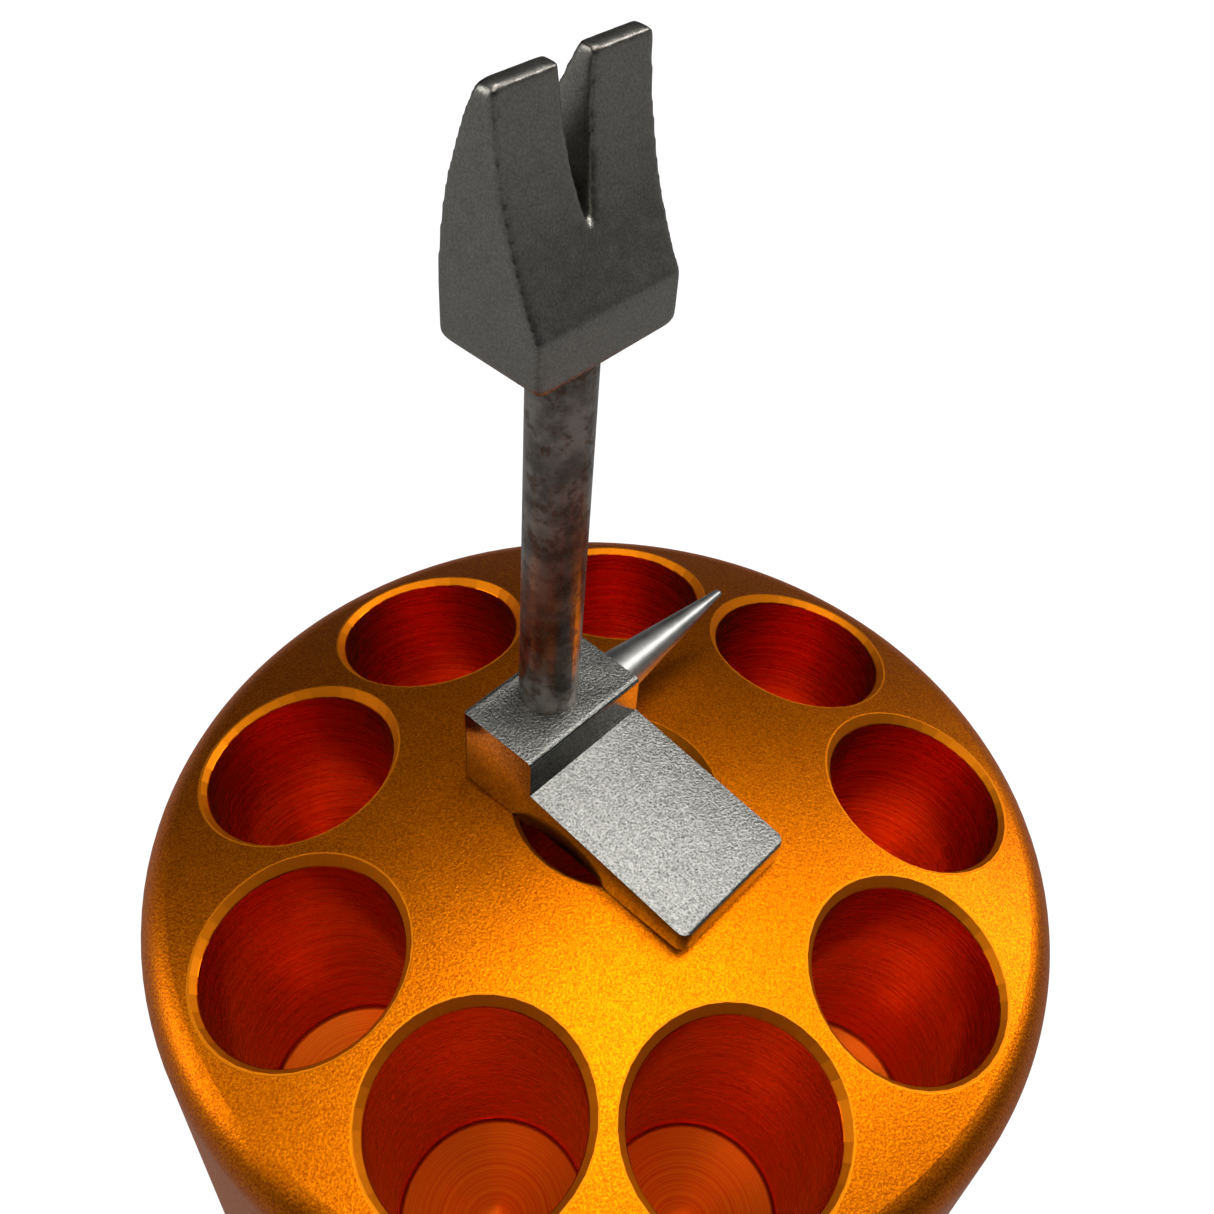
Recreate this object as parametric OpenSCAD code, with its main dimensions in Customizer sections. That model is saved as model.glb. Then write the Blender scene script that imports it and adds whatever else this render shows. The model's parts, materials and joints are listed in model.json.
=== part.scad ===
// Domed drum with ten drilled pockets, carrying a miniature steel entry bar.
// Millimetres. Origin: centre of the drum's underside, +Z up.
// The bar stands foot down on the rim of the centre pocket and lifts off along +Z.

/* [Drum] */
// height of the drum at the crown of its domed top
drum_h = 30; // [24:0.5:60]
// radius of the sphere that the top is turned to
dome_r = 62; // [40:1:200]
// radius of the rounded top edge
edge_r = 2.2; // [0.5:0.1:4]
// chamfer round the underside
foot_chamfer = 0.6; // [0.2:0.1:2]
// metal outside the ring pockets, measured at their mouths
rim_wall = 1.58; // [0.8:0.02:6]

/* [Pockets] */
// pockets on the ring
pocket_count = 9; // [5:1:12]
// bore of every pocket
pocket_d = 9.4; // [5:0.1:16]
// depth along the axis from the dome to the start of the drill point
pocket_depth = 15.9; // [8:0.1:24]
// metal left between neighbouring ring pockets at their floors
web = 0.37; // [0.2:0.01:3]
// bearing of the first ring pocket, anticlockwise from +X
ring_bearing = 92.5; // [0:0.5:360]
// lean of each ring pocket, mouth outwards
splay = 6.2; // [0:0.1:10]
// included angle of the drill point
point_angle = 118; // [90:1:150]
// width of the mouth chamfer
mouth_chamfer = 0.38; // [0.1:0.01:1]
// depth of the mouth chamfer
mouth_depth = 0.49; // [0.1:0.01:1.5]
// small corner where the bore meets the drill point
floor_corner = 0.2; // [0.05:0.05:0.6]

/* [Bar placement] */
// gap between the bar's foot and the rim that it stands on
foot_gap = 0.05; // [0.02:0.01:0.3]
// distance from the drum's axis to the bar's axis
bar_offset = 3.96; // [0:0.05:6]
// bearing of the bar's axis, anticlockwise from +X
bar_bearing = 148.9; // [0:0.1:360]
// bearing that the adze points to
adze_bearing = -39.2; // [-180:0.1:180]

/* [Head] */
// block size along the adze
block_l = 4.45; // [3:0.05:10]
// block size across, also the adze's width
block_w = 7.25; // [4:0.05:16]
// block height
block_h = 4.8; // [3:0.1:10]
// rounding of the block's edges
block_r = 0.3; // [0.1:0.05:0.6]
// reach of the adze from the bar's axis
adze_reach = 11.75; // [6:0.05:24]
// thickness of the adze where it leaves the block
adze_root_t = 2.5; // [1.5:0.05:4]
// thickness of the adze at its edge
adze_tip_t = 1.25; // [0.5:0.05:2]
// rounding of the adze's edge
adze_edge_r = 0.22; // [0.05:0.01:0.3]
// height of the relief milled under the adze
relief_h = 0.45; // [0.1:0.05:0.8]

/* [Pick] */
// length of the pick outside the block
pick_l = 9.2; // [4:0.1:20]
// diameter of the pick where it meets the block
pick_d = 2.66; // [1.5:0.02:4]
// diameter of the pick's rounded tip
pick_tip_d = 0.44; // [0.2:0.02:1]
// diameter of the pick's spigot
pick_spigot_d = 1.8; // [1:0.05:2.4]
// length of the pick's spigot
pick_spigot_l = 1.5; // [0.8:0.1:2]

/* [Shaft] */
// diameter of the shaft
shaft_d = 2.77; // [1.5:0.01:4]
// length of shaft that shows between head and fork
shaft_l = 19.85; // [10:0.1:60]
// how far the shaft sits behind the middle of the block
shaft_back = 0.25; // [0:0.05:0.6]
// depth of the shaft's sockets in the head and in the fork
socket_l = 2.2; // [1:0.1:3]

/* [Fork] */
// width of the fork
fork_w = 7.2; // [4:0.1:16]
// height of the fork
fork_h = 10.2; // [6:0.1:24]
// thickness of the fork's base
fork_t = 4.9; // [3.6:0.1:8]
// how far the base sits back from the shaft's axis
fork_back = 0.46; // [0:0.02:1]
// height of the straight band round the base
band_h = 2.2; // [1:0.1:4]
// thickness of the tines at their ends
tine_t = 0.75; // [0.4:0.05:2]
// how far the tine ends sit back from the shaft's axis
tine_back = 0.52; // [0:0.02:1.5]
// hollow of the front face
front_hollow = 0.5; // [0.1:0.05:1]
// belly of the back face
back_belly = 0.62; // [0.1:0.05:1.2]
// width of the notch between the tine ends
notch_w = 1.5; // [0.6:0.05:4]
// depth of the notch
notch_h = 5.8; // [3:0.1:16]
// rounding of the fork's lower corners
fork_r = 0.6; // [0.2:0.05:1]

/* [Hidden] */
$fn = 96;
eps = 0.02;
pocket_r = pocket_d / 2;
mouth_r = pocket_r + mouth_chamfer;
ring_step = 360 / pocket_count;
pitch_r = (pocket_r + web / 2) / sin(180 / pocket_count) + pocket_depth * sin(splay);
drum_r = pitch_r + mouth_r + rim_wall;
dome_c = drum_h - dome_r;
// height of the dome at the pitch circle, and its slope there
pitch_z = dome_c + sqrt(dome_r * dome_r - pitch_r * pitch_r);
pitch_slope = asin(pitch_r / dome_r);
// height of the centre pocket's rim, which the bar stands on
rim_z = dome_c + sqrt(dome_r * dome_r - mouth_r * mouth_r);
rim_sag = drum_h - rim_z;
// where the rounded edge meets the dome
edge_x = drum_r - edge_r;
edge_z = dome_c + sqrt((dome_r - edge_r) * (dome_r - edge_r) - edge_x * edge_x);
edge_join = edge_x * dome_r / (dome_r - edge_r);
point_h = (pocket_r - floor_corner) / tan(point_angle / 2);
mouth_sides = 36;
foot_z = rim_z + foot_gap;
bar_x = bar_offset * cos(bar_bearing);
bar_y = bar_offset * sin(bar_bearing);
pick_z = block_h * 0.52;
fork_z = block_h + shaft_l;
// turns the seams of round faces off the planes of symmetry
seam_turn = 11;
half_l = block_l / 2;
half_w = block_w / 2;

// one pocket: bore, floor corner and drill point, from its mouth centre down -Z
module pocket_bore() {
    rotate([0, 0, seam_turn]) rotate_extrude()
        polygon([[0, -pocket_depth - point_h],
                 [pocket_r - floor_corner, -pocket_depth],
                 [pocket_r, -pocket_depth + floor_corner],
                 [pocket_r, 4], [0, 4]]);
}

// one level of the mouth cutter
function mouth_ring(r, z) = [for (i = [0 : mouth_sides - 1])
    [r * cos((i + 0.5) * 360 / mouth_sides), r * sin((i + 0.5) * 360 / mouth_sides), z]];

// mouth chamfer: a many-sided cone about the dome's own normal, so that its width stays even
module pocket_mouth() {
    low = -rim_sag - 2 * mouth_depth;
    polyhedron(
        points = concat(mouth_ring(mouth_r - 2 * mouth_chamfer, low),
                        mouth_ring(mouth_r + 2 * mouth_chamfer, low + 4 * mouth_depth)),
        faces = concat(
            [[for (i = [0 : mouth_sides - 1]) i]],
            [[for (i = [mouth_sides - 1 : -1 : 0]) mouth_sides + i]],
            [for (i = [0 : mouth_sides - 1]) let (j = (i + 1) % mouth_sides)
                [i, mouth_sides + i, mouth_sides + j, j]]));
}

module drum_profile() {
    intersection() {
        translate([0, dome_c]) circle(r = dome_r, $fn = 360);
        square([edge_join, drum_h]);
    }
    translate([edge_x, edge_z]) circle(r = edge_r);
    polygon([[0, 0], [drum_r - foot_chamfer, 0], [drum_r, foot_chamfer],
             [drum_r, edge_z], [0, edge_z]]);
}

module drum() {
    color([0.93, 0.42, 0.04])
    difference() {
        rotate([0, 0, 2 * seam_turn]) rotate_extrude($fn = 180) drum_profile();
        translate([0, 0, drum_h]) {
            pocket_bore();
            pocket_mouth();
        }
        for (i = [0 : pocket_count - 1])
            rotate([0, 0, ring_bearing + i * ring_step]) translate([pitch_r, 0, pitch_z]) {
                rotate([0, splay, 0]) pocket_bore();
                rotate([0, pitch_slope, 0]) pocket_mouth();
            }
    }
}

// places a child in the bar's own axes: X along the adze, Y along the pick, Z up the shaft
module on_bar() {
    translate([bar_x, bar_y, foot_z]) rotate([0, 0, adze_bearing]) children();
}

// side view of block and adze, X outwards along the adze, Y up
module head_profile() {
    hull() {
        for (x = [-half_l + block_r, half_l - block_r])
            translate([x, block_h - block_r]) circle(r = block_r, $fn = 32);
        translate([-half_l, 0]) square([block_l, 0.5]);
    }
    difference() {
        hull() {
            translate([half_l - 0.6, 0]) square([0.6, adze_root_t]);
            for (y = [adze_edge_r, adze_tip_t - adze_edge_r])
                translate([adze_reach - adze_edge_r, y]) circle(r = adze_edge_r, $fn = 32);
        }
        // shallow relief between the block and the cutting edge
        polygon([[half_l, -1], [half_l, 0], [half_l + relief_h, relief_h],
                 [adze_reach * 0.55, relief_h], [adze_reach * 0.62, 0],
                 [adze_reach * 0.62, -1]]);
    }
}

module adze_head() {
    color([0.62, 0.62, 0.6])
    on_bar() difference() {
        intersection() {
            rotate([90, 0, 0]) linear_extrude(height = block_w, center = true) head_profile();
            linear_extrude(height = block_h) hull()
                for (x = [-half_l + block_r, adze_reach - 0.5])
                    for (y = [-1, 1])
                        translate([x, y * (half_w - (x < 0 ? block_r : 0.5))])
                            circle(r = x < 0 ? block_r : 0.5, $fn = 32);
        }
        translate([-shaft_back, 0, block_h - socket_l])
            cylinder(h = socket_l + 1, d = shaft_d);
        translate([0, half_w + 1, pick_z]) rotate([90, 0, 0])
            cylinder(h = pick_spigot_l + 1, d = pick_spigot_d);
    }
}

module pick() {
    color([0.66, 0.66, 0.64])
    on_bar() translate([0, half_w, pick_z]) rotate([-90, 0, 0]) rotate_extrude() {
        square([pick_spigot_d / 2, pick_l * 0.2]);
        translate([0, -pick_spigot_l]) square([pick_spigot_d / 2, pick_spigot_l + eps]);
        polygon([[0, 0], [pick_d / 2, 0], [pick_tip_d / 2, pick_l - pick_tip_d / 2],
                 [0, pick_l - pick_tip_d / 2]]);
        intersection() {
            translate([0, pick_l - pick_tip_d / 2]) circle(d = pick_tip_d, $fn = 32);
            translate([0, pick_l - pick_tip_d]) square([1, pick_tip_d]);
        }
    }
}

module shaft() {
    color([0.6, 0.59, 0.57])
    on_bar() translate([-shaft_back, 0, block_h - socket_l])
        cylinder(h = shaft_l + 2 * socket_l, d = shaft_d);
}

// circle through (0, 0) and (dx, dy) that bulges by s to the right of the way up
function arc_r(dx, dy, s) = ((dx * dx + dy * dy) / 4 + s * s) / (2 * s);

// a disc whose edge runs from a to b and stands s off the straight line between them
module arc_disc(a, b, s, side) {
    d = b - a;
    len_ab = norm(d);
    r = arc_r(d[0], d[1], s);
    n = [d[1], -d[0]] / len_ab * side;
    m = (a + b) / 2;
    c = m + n * (s - r);
    translate(c) circle(r = r, $fn = 360);
}

// side view of the fork, X towards the adze, Y up from the fork's base
module fork_profile() {
    back = -fork_t / 2 - fork_back;
    front = fork_t / 2 - fork_back;
    tip_back = -tine_back - tine_t / 2;
    tip_front = -tine_back + tine_t / 2;
    difference() {
        intersection() {
            hull() {
                translate([back + fork_r, fork_r]) circle(r = fork_r, $fn = 32);
                translate([front - fork_r / 2, fork_r / 2]) circle(r = fork_r / 2, $fn = 32);
                translate([back, fork_r]) square([fork_t, band_h - fork_r]);
                translate([back, fork_h - 1]) square([fork_t, 1]);
            }
            union() {
                translate([back - 1, -1]) square([fork_t + 2, band_h * 0.4 + 1]);
                arc_disc([back, band_h * 0.4], [tip_back, fork_h], back_belly, -1);
            }
        }
        intersection() {
            arc_disc([front, band_h], [tip_front, fork_h], front_hollow, -1);
            translate([-fork_t, band_h]) square([2 * fork_t, fork_h]);
        }
        // clears what stands in front of the hollow
        polygon([[front, band_h], [front + 2, band_h], [front + 2, fork_h + 1],
                 [tip_front, fork_h + 1], [tip_front, fork_h]]);
    }
}

module fork_head() {
    color([0.42, 0.41, 0.39])
    on_bar() translate([0, 0, fork_z]) difference() {
        intersection() {
            rotate([90, 0, 0]) linear_extrude(height = fork_w, center = true) fork_profile();
            rotate([90, 0, 90]) linear_extrude(height = 4 * fork_t, center = true) hull()
                for (x = [-1, 1]) {
                    translate([x * (fork_w / 2 - fork_r), fork_r])
                        circle(r = fork_r, $fn = 32);
                    translate([x * (fork_w / 2 - fork_r * 0.6), fork_h - fork_r * 0.6])
                        circle(r = fork_r * 0.6, $fn = 32);
                }
        }
        // notch between the tines
        rotate([90, 0, 90]) linear_extrude(height = 4 * fork_t, center = true)
            polygon([[-notch_w / 2 - 0.1, fork_h + 1], [-notch_w / 2, fork_h],
                     [-notch_w * 0.3, fork_h - notch_h * 0.6], [0, fork_h - notch_h],
                     [notch_w * 0.3, fork_h - notch_h * 0.6], [notch_w / 2, fork_h],
                     [notch_w / 2 + 0.1, fork_h + 1]]);
        // blind socket for the shaft
        translate([-shaft_back, 0, -1]) cylinder(h = socket_l + 1, d = shaft_d);
    }
}

drum();
adze_head();
pick();
shaft();
fork_head();
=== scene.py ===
import json
import math

import bmesh
import bpy
from mathutils import Matrix, Vector


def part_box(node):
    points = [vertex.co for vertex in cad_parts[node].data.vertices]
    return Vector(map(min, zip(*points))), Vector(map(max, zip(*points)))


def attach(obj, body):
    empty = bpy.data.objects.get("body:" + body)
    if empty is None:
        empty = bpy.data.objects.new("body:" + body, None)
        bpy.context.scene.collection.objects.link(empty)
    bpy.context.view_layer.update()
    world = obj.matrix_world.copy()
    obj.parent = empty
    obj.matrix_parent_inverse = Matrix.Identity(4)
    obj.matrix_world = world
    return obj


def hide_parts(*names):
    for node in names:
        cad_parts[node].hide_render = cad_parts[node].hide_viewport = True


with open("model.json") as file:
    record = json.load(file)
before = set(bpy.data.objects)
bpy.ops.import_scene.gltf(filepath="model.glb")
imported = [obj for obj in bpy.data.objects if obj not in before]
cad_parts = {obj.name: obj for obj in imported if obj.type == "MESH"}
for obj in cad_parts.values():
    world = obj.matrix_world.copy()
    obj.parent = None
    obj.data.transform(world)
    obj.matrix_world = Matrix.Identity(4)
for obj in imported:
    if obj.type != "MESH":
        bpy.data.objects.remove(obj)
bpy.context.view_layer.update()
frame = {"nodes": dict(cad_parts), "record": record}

MM = 0.001
WELD = 0.002 * MM       # points nearer than this are one point

# ---------------------------------------------------------------- sizes, read off the frame
mounts = {m["name"]: m for m in frame["record"]["mounts"]}
ring_mounts = [m for name, m in sorted(mounts.items()) if name.startswith("ring_pocket")]
first = ring_mounts[0]
bore_r = first["dims"]["r_mm"] * MM
pocket_step = 2 * math.pi / len(ring_mounts)
ring_axis = Vector(first["axis"])
ring_point = Vector(first["pos_m"])
splay = math.acos(ring_axis.z)
ring_bearing = math.atan2(ring_axis.y, ring_axis.x)
wall_radius = math.hypot(ring_point.x, ring_point.y)
drum_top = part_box("drum")[1][2]


# ---------------------------------------------------------------- shader helpers
class Value:
    """A socket that takes part in arithmetic: each operator adds its Math node."""

    def __init__(self, shade, socket):
        self.shade = shade
        self.socket = socket

    def __add__(self, other):
        return self.shade.math("ADD", self, other)

    def __radd__(self, other):
        return self.shade.math("ADD", other, self)

    def __sub__(self, other):
        return self.shade.math("SUBTRACT", self, other)

    def __rsub__(self, other):
        return self.shade.math("SUBTRACT", other, self)

    def __mul__(self, other):
        return self.shade.math("MULTIPLY", self, other)

    def __rmul__(self, other):
        return self.shade.math("MULTIPLY", other, self)

    def __truediv__(self, other):
        return self.shade.math("DIVIDE", self, other)


class Finish:
    """One material with its shader, and the nodes that feed it."""

    def __init__(self, name, **sockets):
        self.material = bpy.data.materials.new(name)
        self.material.use_nodes = True
        self.tree = self.material.node_tree
        self.shader = next(n for n in self.tree.nodes if n.type == "BSDF_PRINCIPLED")
        for socket, value in sockets.items():
            self.shader.inputs[socket.replace("_", " ")].default_value = value

    def node(self, kind, settings=None, inputs=None):
        made = self.tree.nodes.new(kind)
        for name, value in (settings or {}).items():
            setattr(made, name, value)
        for name, value in (inputs or {}).items():
            self.feed(made.inputs[name], value)
        return made

    def feed(self, socket, value):
        if isinstance(value, Value):
            self.tree.links.new(value.socket, socket)
        else:
            socket.default_value = value

    def math(self, operation, *values):
        made = self.node("ShaderNodeMath", {"operation": operation}, dict(enumerate(values)))
        return Value(self, made.outputs[0])

    def clamp01(self, value):
        return Value(self, self.node("ShaderNodeClamp", None, {"Value": value}).outputs[0])

    def smooth(self, value, low, high):
        """0 below low, 1 above high, smooth between; low may be above high."""
        made = self.node("ShaderNodeMapRange", {"interpolation_type": "SMOOTHSTEP"},
                         {"Value": value, "From Min": low, "From Max": high})
        return Value(self, made.outputs["Result"])

    def place(self):
        coords = self.node("ShaderNodeTexCoord")
        return Value(self, coords.outputs["Object"])

    def axes(self, vector):
        parts = self.node("ShaderNodeSeparateXYZ", None, {"Vector": vector})
        return [Value(self, parts.outputs[i]) for i in range(3)]

    def joined(self, x, y, z):
        made = self.node("ShaderNodeCombineXYZ", None, {"X": x, "Y": y, "Z": z})
        return Value(self, made.outputs[0])

    def noise(self, vector, scale, detail=2.0, roughness=0.5):
        made = self.node("ShaderNodeTexNoise", None,
                         {"Vector": vector, "Scale": scale, "Detail": detail,
                          "Roughness": roughness})
        return Value(self, made.outputs[0])

    def grains(self, vector, scale):
        made = self.node("ShaderNodeTexVoronoi", {"feature": "F1"},
                         {"Vector": vector, "Scale": scale})
        return Value(self, made.outputs["Distance"])

    def mix(self, factor, a, b):
        made = self.node("ShaderNodeMix", {"data_type": "RGBA"})
        for index, value in ((0, factor), (6, a), (7, b)):
            if index and not isinstance(value, Value):
                value = (*value, 1.0)
            self.feed(made.inputs[index], value)
        return Value(self, made.outputs[2])

    def bump(self, height, strength, distance, normal=None):
        inputs = {"Height": height, "Strength": strength, "Distance": distance}
        if normal is not None:
            inputs["Normal"] = normal
        return Value(self, self.node("ShaderNodeBump", None, inputs).outputs[0])

    def set(self, **sockets):
        for name, value in sockets.items():
            self.feed(self.shader.inputs[name.replace("_", " ")], value)
        return self.material


# ---------------------------------------------------------------- finishes
# Texture scales are in cells or rings per metre.
def around_the_nearest_pocket(f, x, y, z):
    """Where a point lies by its nearest ring pocket: off and across its axis, and along it."""
    radius = f.math("SQRT", x * x + y * y)
    bearing = f.math("ARCTAN2", y, x) - ring_bearing
    turn = bearing - f.math("ROUND", bearing / pocket_step) * pocket_step
    across = radius * f.math("SINE", turn)
    out = radius * f.math("COSINE", turn) - wall_radius
    up = z - ring_point.z
    off = out * math.cos(splay) - up * math.sin(splay)
    depth = out * math.sin(splay) + up * math.cos(splay)
    return radius, off, across, depth


def anodised_drum():
    """Bead-blasted orange outside, machined and anodised pockets and mouths."""
    blasted_dark, blasted_pale = (0.42, 0.07, 0.001), (0.88, 0.235, 0.001)
    wall_dark, wall_pale = (0.56, 0.085, 0.001), (0.72, 0.14, 0.0015)
    floor_dark, floor_pale = (0.8, 0.08, 0.002), (1.0, 0.24, 0.004)
    mouth_colour = (0.75, 0.22, 0.005)
    ring_reach, centre_reach, blur = 0.46 * MM, 0.42 * MM, 0.06 * MM

    f = Finish("orange_anodising", Metallic=1.0, Specular_IOR_Level=0.1)
    point = f.place()
    radius, off, across, depth = around_the_nearest_pocket(f, *f.axes(point))
    from_ring_axis = f.math("SQRT", off * off + across * across)
    in_ring = f.smooth(from_ring_axis, bore_r + ring_reach, bore_r + ring_reach - blur)
    in_centre = f.smooth(radius, bore_r + centre_reach, bore_r + centre_reach - blur)
    machined = f.math("MAXIMUM", in_ring, in_centre)
    unmachined = 1.0 - machined
    axis_distance = f.math("MINIMUM", from_ring_axis, radius)
    mouth = f.smooth(axis_distance, bore_r + 0.02 * MM, bore_r + 0.05 * MM)
    # the drilled floor cones lie inside the bore, the walls at its radius
    floor = f.smooth(axis_distance, bore_r - 0.1 * MM, bore_r - 0.2 * MM)

    wall_rings = f.noise(f.joined(across * 60.0, off * 60.0, depth * 9000.0), 1.0, 3.0, 0.7)
    fine_rings = f.noise(f.joined(across * 20.0, off * 20.0, depth * 2600.0), 1.0, 2.0, 0.6)
    cone_rings = f.noise(f.joined(0.0, 0.0, axis_distance * 5200.0), 1.0, 3.0, 0.75)
    rings = 0.22 * wall_rings * (1.0 - floor) + cone_rings * floor
    grain = f.noise(point, 9500.0, 2.0, 0.7)
    pits = f.grains(point, 7000.0)
    patches = f.noise(point, 900.0, 2.0, 0.5)

    blasted = f.mix(f.smooth(grain, 0.25, 0.75), blasted_dark, blasted_pale)
    bored = f.mix(f.smooth(fine_rings, 0.3, 0.7), wall_dark, wall_pale)
    drilled = f.mix(f.smooth(cone_rings, 0.3, 0.7) * floor, f.mix(floor, bored, floor_dark),
                    floor_pale)
    turned = f.mix(mouth, drilled, mouth_colour)
    blasted_rough = 0.38 + 0.05 * patches
    turned_rough = 0.25 + 0.05 * fine_rings + 0.1 * floor + 0.28 * mouth
    skin = f.bump(grain * unmachined + 0.6 * pits * unmachined, 0.28, 0.035 * MM)
    return f.set(Base_Color=f.mix(machined, blasted, turned),
                 Roughness=blasted_rough * unmachined + turned_rough * machined,
                 Metallic=1.0 - 0.5 * floor * machined,
                 Normal=f.bump(rings * machined, 0.5, 0.02 * MM, skin))


def steel(name, dark, pale, cell, rough, coarse, sparkle=0.0, side_rough=None,
          edge_shade=0.0):
    """Blasted steel: a grain of pits of size cell (metres) between two tones.

    Faces that stand upright take side_rough, where one is given. Where the mesh says how far
    each point moved when its edges were rounded, the last argument is how dark the painted shade
    along those edges and corners goes.
    """
    # near-black brown of the painted shade on edges and corners
    edge_shade_colour = (0.05, 0.022, 0.015)
    f = Finish(name, Metallic=1.0)
    point = f.place()
    grain = f.noise(point, 1.0 / cell, 3.0, 0.65)
    cloud = f.noise(point, 0.12 / cell, 3.0, 0.55)
    pits = f.grains(point, 0.8 / cell)
    tone = f.clamp01(0.75 * f.smooth(grain, 0.3, 0.7) + 0.5 * (cloud - 0.35) + sparkle * pits)
    height = grain + 0.5 * pits
    roughness = rough + 0.12 * (cloud - 0.5) - 0.1 * sparkle * pits
    if side_rough is not None:
        facing = f.axes(Value(f, f.node("ShaderNodeNewGeometry").outputs["Normal"]))[2]
        upright = f.smooth(facing, 0.8, 0.55)
        height = height * (1.0 - 0.85 * upright)
        roughness = roughness * (1.0 - upright) + side_rough * upright
    colour = f.mix(tone, dark, pale)
    # painted shade: edges and corners darken towards the near-black brown, the more the nearer a
    # point lies to an edge
    if edge_shade:
        moved = Value(f, f.node("ShaderNodeAttribute", {"attribute_name": "edge_nearness"}).outputs["Fac"])
        colour = f.mix(edge_shade * f.smooth(moved, 0.25, 1.1), colour, edge_shade_colour)
    return f.set(Base_Color=colour, Roughness=roughness,
                 Normal=f.bump(height, coarse, 0.05 * MM))


def turned_steel(name, dark, pale, rough, patina=0.0):
    """Satin turned steel, faintly clouded, with brown blots as strong as patina."""
    blot_colour = (0.1, 0.055, 0.03)
    f = Finish(name, Metallic=1.0)
    point = f.place()
    cloud = f.noise(point, 700.0, 3.0, 0.6)
    grain = f.noise(point, 9000.0, 2.0, 0.6)
    blots = patina * f.smooth(f.noise(point, 1500.0, 4.0, 0.7), 0.5, 0.62)
    clean = f.mix(f.smooth(cloud, 0.35, 0.7), dark, pale)
    return f.set(Base_Color=f.mix(blots, clean, blot_colour),
                 Roughness=rough + 0.08 * (cloud - 0.5) + 0.25 * blots,
                 Normal=f.bump(grain + blots, 0.1, 0.012 * MM))


# ---------------------------------------------------------------- pieces
def eased(node, width, material, body="bar"):
    """The CAD node's own shape with its sharp edges eased by width, standing for it."""
    nearly_flat, sharp_from, shaded_flat_from = 1.0, 28, 32      # degrees between faces
    mesh = frame["nodes"][node].data.copy()
    piece = bpy.data.objects.new(node + "_eased", mesh)
    bpy.context.collection.objects.link(piece)
    work = bmesh.new()
    work.from_mesh(mesh)
    bmesh.ops.remove_doubles(work, verts=work.verts, dist=WELD)
    bmesh.ops.dissolve_limit(work, angle_limit=math.radians(nearly_flat), verts=work.verts,
                             edges=work.edges)
    sharp = [e for e in work.edges
             if len(e.link_faces) == 2 and e.calc_face_angle() > math.radians(sharp_from)]
    bmesh.ops.bevel(work, geom=sharp, offset=width, offset_type="OFFSET", segments=3,
                    profile=0.5, affect="EDGES", clamp_overlap=True)
    work.to_mesh(mesh)
    work.free()
    mesh.materials.clear()
    mesh.materials.append(material)
    for face in mesh.polygons:
        face.use_smooth = True
    mesh.set_sharp_from_angle(angle=math.radians(shaded_flat_from))
    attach(piece, body)
    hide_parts(node)
    return piece


def applied(piece):
    """The piece's mesh as its modifiers leave it, and no modifiers."""
    shaped = piece.evaluated_get(bpy.context.evaluated_depsgraph_get())
    piece.data = bpy.data.meshes.new_from_object(shaped)
    piece.modifiers.clear()


def worn(node, cell, passes, material, body="bar"):
    """The CAD node's own shape in cells of one size, its edges worn round by smoothing.

    It is then stretched back to the node's height. The remesh works in millimetres.
    """
    mesh = frame["nodes"][node].data.copy()
    work = bmesh.new()
    work.from_mesh(mesh)
    bmesh.ops.remove_doubles(work, verts=work.verts, dist=WELD)
    work.to_mesh(mesh)
    work.free()
    mesh.transform(Matrix.Scale(1 / MM, 4))
    piece = bpy.data.objects.new(node + "_worn", mesh)
    bpy.context.collection.objects.link(piece)
    cells = piece.modifiers.new("cells", "REMESH")
    cells.mode = "VOXEL"
    cells.voxel_size = cell / MM
    applied(piece)
    before = [vertex.co.copy() for vertex in piece.data.vertices]
    smoothing = piece.modifiers.new("smoothing", "SMOOTH")
    smoothing.factor = 0.5
    smoothing.iterations = passes
    applied(piece)
    # how far each point moved, in cells, is how near it is to an edge rounded by the smoothing;
    # the steel finish paints shade along these edges and corners by it
    edge_nearness = piece.data.attributes.new("edge_nearness", "FLOAT", "POINT")
    for vertex, start in zip(piece.data.vertices, before):
        edge_nearness.data[vertex.index].value = (vertex.co - start).length * MM / cell
    piece.data.transform(Matrix.Scale(MM, 4))
    foot = min(vertex.co.z for vertex in piece.data.vertices)
    top = max(vertex.co.z for vertex in piece.data.vertices)
    stretch = (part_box(node)[1][2] - foot) / (top - foot)
    for vertex in piece.data.vertices:
        vertex.co.z = foot + (vertex.co.z - foot) * stretch
    piece.data.materials.clear()
    piece.data.materials.append(material)
    for face in piece.data.polygons:
        face.use_smooth = True
    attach(piece, body)
    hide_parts(node)
    return piece


def repaint(node, material):
    piece = frame["nodes"][node]
    if not piece.material_slots:
        piece.data.materials.append(material)
    for place in piece.material_slots:
        place.material = material


repaint("drum", anodised_drum())
head_steel = steel("coarse_blasted_steel", (0.06, 0.06, 0.055), (0.36, 0.355, 0.325),
                   0.11 * MM, 0.42, 0.7, 0.4, side_rough=0.17)
# the fork's finish paints shade along its edges and corners
fork_steel = steel("fine_blasted_steel", (0.2, 0.19, 0.172), (0.34, 0.33, 0.3),
                   0.09 * MM, 0.36, 0.12, edge_shade=0.8)
eased("adze_head", 0.14 * MM, head_steel)
worn("fork_head", 0.11 * MM, 22, fork_steel)
repaint("shaft", turned_steel("satin_shaft_steel", (0.14, 0.125, 0.11), (0.34, 0.31, 0.28),
                              0.28, patina=0.6))
repaint("pick", turned_steel("satin_pick_steel", (0.3, 0.295, 0.28), (0.42, 0.415, 0.395),
                             0.42))


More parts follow.
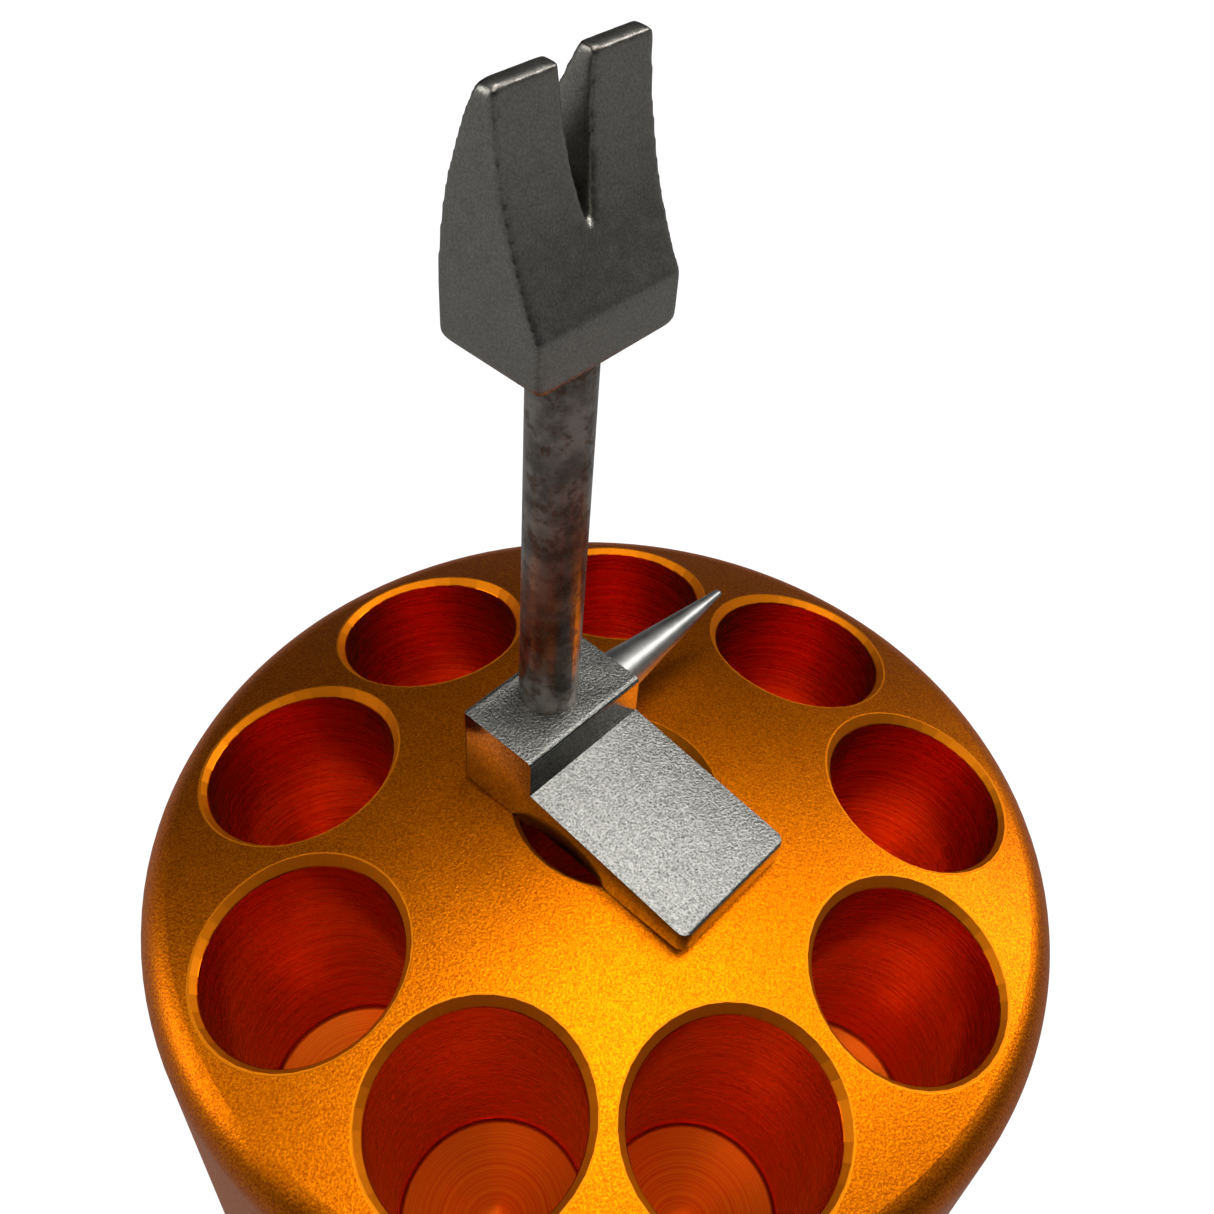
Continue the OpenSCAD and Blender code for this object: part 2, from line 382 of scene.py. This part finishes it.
# ---------------------------------------------------------------- setting
def floor():
    """A plain white floor, which lights and mirrors as the grey of a dim room."""
    room_grey, white = (0.22, 0.22, 0.22), (1.0, 1.0, 1.0)
    bpy.ops.mesh.primitive_plane_add(size=3.0, location=(0, 0, -0.02 * MM))
    ground = bpy.context.object
    ground.name = "floor"
    pale = Finish("pale_floor", Roughness=0.9, Emission_Strength=1.0)
    seen = Value(pale, pale.node("ShaderNodeLightPath").outputs["Is Camera Ray"])
    glow = pale.mix(seen, room_grey, white)
    ground.data.materials.append(pale.set(Base_Color=(0.05, 0.05, 0.05, 1.0),
                                          Emission_Color=glow))


def softbox(name, position, target, size, power):
    data = bpy.data.lights.new(name, "AREA")
    data.shape = "RECTANGLE"
    data.size, data.size_y = size
    data.energy = power
    lamp = bpy.data.objects.new(name, data)
    bpy.context.collection.objects.link(lamp)
    lamp.location = position
    lamp.rotation_euler = (Vector(target) - Vector(position)).to_track_quat("-Z", "Y").to_euler()


def camera():
    """The view: distances in pitch radii from the dome's crown, angles in radians."""
    pitch_r = 16 * MM
    frame_turn = math.radians(-1.895)
    back, up = 2.3514 * pitch_r, 3.2812 * pitch_r
    yaw, pitch, roll = 0.0363 - frame_turn, 0.8077, 0.136
    data = bpy.data.cameras.new("view")
    data.sensor_width = 36.0
    data.lens = 39.256
    data.shift_x, data.shift_y = -0.0513, 0.0055
    data.clip_start = 0.5 * MM
    data.clip_end = 10.0
    seen = bpy.data.objects.new("view", data)
    bpy.context.collection.objects.link(seen)
    ahead = Vector((math.sin(yaw) * math.cos(pitch), math.cos(yaw) * math.cos(pitch),
                    -math.sin(pitch)))
    level = Vector((math.cos(yaw), -math.sin(yaw), 0.0))
    over = level.cross(ahead)
    side = level * math.cos(roll) + over * math.sin(roll)
    top = over * math.cos(roll) - level * math.sin(roll)
    place = Vector((back * math.sin(frame_turn), -back * math.cos(frame_turn), drum_top + up))
    seen.matrix_world = Matrix((
        (side.x, top.x, -ahead.x, place.x),
        (side.y, top.y, -ahead.y, place.y),
        (side.z, top.z, -ahead.z, place.z),
        (0.0, 0.0, 0.0, 1.0)))
    bpy.context.scene.camera = seen


def dim_room():
    world = bpy.data.worlds.new("studio")
    world.use_nodes = True
    background = world.node_tree.nodes["Background"]
    background.inputs["Color"].default_value = (0.9, 0.92, 1.0, 1.0)
    background.inputs["Strength"].default_value = 0.02
    bpy.context.scene.world = world
    bpy.context.scene.view_settings.view_transform = "Standard"


floor()
camera()
dim_room()
crown = (0.0, 0.0, drum_top)
softbox("overhead", (0.015, 0.045, 0.42), crown, (0.14, 0.1), 0.26)
softbox("wide_strip", (0.03, -0.035, 0.43), crown, (0.54, 0.3), 1.65)
softbox("left_fill", (-0.35, -0.05, 0.16), crown, (0.12, 0.2), 0.36)
softbox("right_fill", (0.31, 0.14, 0.27), crown, (0.14, 0.14), 0.6)
